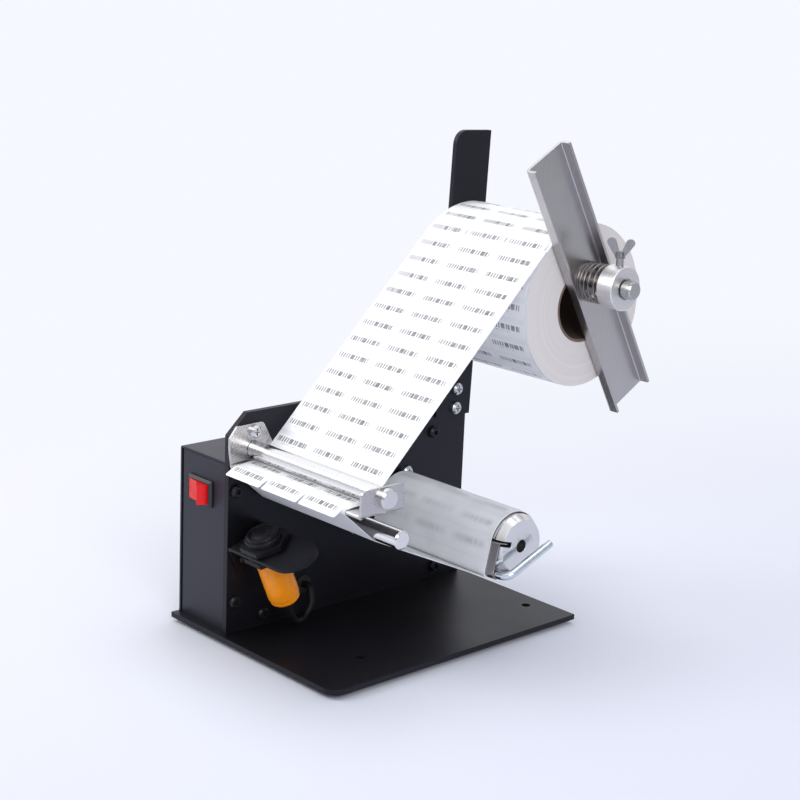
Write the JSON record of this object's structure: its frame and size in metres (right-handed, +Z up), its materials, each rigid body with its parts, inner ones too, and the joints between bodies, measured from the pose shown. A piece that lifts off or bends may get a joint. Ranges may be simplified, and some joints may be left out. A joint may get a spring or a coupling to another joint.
{
  "type": "label dispenser",
  "caption": "Desk label dispenser: a label roll on a high shaft, a peel bracket with press roller, and a motor drum that winds the liner.",
  "frame": {"origin": "centre of the base plate's underside; the rubber feet reach below it", "axes": "+Z up, -Y to the front where the labels come off, +X along the shafts, away from the upright frame plate"},
  "size_m": [0.1774, 0.2263, 0.2782],
  "materials": {
    "black_coat": "satin powder coat",
    "box_coat": "satin powder coat",
    "steel_zinc": "zinc plated",
    "black_screw": "black oxide",
    "stainless": "satin stainless sheet",
    "polished": "polished bar",
    "clip_wire": "bright zinc",
    "spring_steel": "spring wire",
    "rubber_black": "matte",
    "plastic_black": "matte",
    "plastic_orange": "gloss",
    "rocker_red": "gloss",
    "paper_roll": "paper, satin",
    "card": "grey-brown card",
    "label_paper": "coated paper",
    "liner": "glassine",
    "motor_metal": "plain",
    "bronze": "sintered bronze",
    "board_green": "solder resist"
  },
  "bodies": {
    "frame": {"base_plate": "black_coat", "rubber_feet": "rubber_black", "frame_plate": "black_coat", "frame_angle": "steel_zinc", "arm_plate": "black_coat", "box_cover": "box_coat", "front_panel": "box_coat", "rear_panel": "box_coat", "cover_screws": "black_screw", "power_inlet": "plastic_black", "switch_frame": "plastic_black", "frame_screws": "black_screw", "motor_screws": "steel_zinc", "arm_screws": "steel_zinc", "ear_screw": "steel_zinc", "base_screws": "black_screw", "supply_shaft": "polished", "shaft_nuts": "steel_zinc", "peel_bracket": "stainless", "roller_screw": "steel_zinc", "roller_pin": "steel_zinc", "guide_rod": "polished", "label_web": "label_paper", "web_labels": "label_paper", "front_labels": "label_paper", "liner_return": "liner", "drum_bush": "bronze", "gear_motor": "motor_metal", "control_board": "board_green", "sensor_bracket": "black_coat", "sensor_barrel": "plastic_black", "sensor_rear": "plastic_orange", "sensor_nuts": "plastic_black", "sensor_cable": "rubber_black", "cable_grommet": "rubber_black"},
    "rocker": {"switch_rocker": "rocker_red"},
    "drum": {"take_up_drum": "polished", "drive_shaft": "steel_zinc", "wound_liner": "liner", "clip_leaf": "stainless"},
    "clip": {"liner_clip": "clip_wire"},
    "roll": {"label_roll": "paper_roll", "roll_core": "card"},
    "roller": {"press_roller": "polished"},
    "guide_hub": {"shaft_collar": "polished", "guide_spring": "spring_steel"},
    "guide": {"roll_guide": "stainless"},
    "wing": {"wing_screw": "steel_zinc"}
  },
  "joints": [
    {"name": "rocker_turn", "type": "hinge", "parent": "frame", "child": "rocker", "pos_m": [-0.0508, -0.0866, 0.0784], "axis": [0, 0, 1], "range_deg": [0, 42]},
    {"name": "drum_spin", "type": "hinge", "parent": "frame", "child": "drum", "pos_m": [0.027, 0.0358, 0.0574], "axis": [1, 0, 0], "continuous": true},
    {"name": "clip_pull", "type": "slide", "parent": "drum", "child": "clip", "axis": [1, 0, 0], "range_m": [0, 0.1]},
    {"name": "roll_spin", "type": "hinge", "parent": "frame", "child": "roll", "pos_m": [0.0246, 0.0805, 0.1851], "axis": [1, 0, 0], "continuous": true},
    {"name": "roller_spin", "type": "hinge", "parent": "frame", "child": "roller", "pos_m": [0.0292, -0.0715, 0.1062], "axis": [1, 0, 0], "continuous": true},
    {"name": "guide_slide", "type": "slide", "parent": "frame", "child": "guide_hub", "axis": [1, 0, 0], "range_m": [0, 0.045]},
    {"name": "guide_turn", "type": "hinge", "parent": "guide_hub", "child": "guide", "pos_m": [0.071, 0.0805, 0.1988], "axis": [1, 0, 0], "continuous": true},
    {"name": "wing_screw_turn", "type": "hinge", "parent": "guide_hub", "child": "wing", "pos_m": [0.09365, 0.0805, 0.1988], "axis": [0, 0, 1], "range_deg": [0, 720]}
  ],
  "couplings": [
    {"joint": "roll_spin", "follows": "drum_spin", "ratio": 0.41},
    {"joint": "roller_spin", "follows": "drum_spin", "ratio": -3.68}
  ]
}
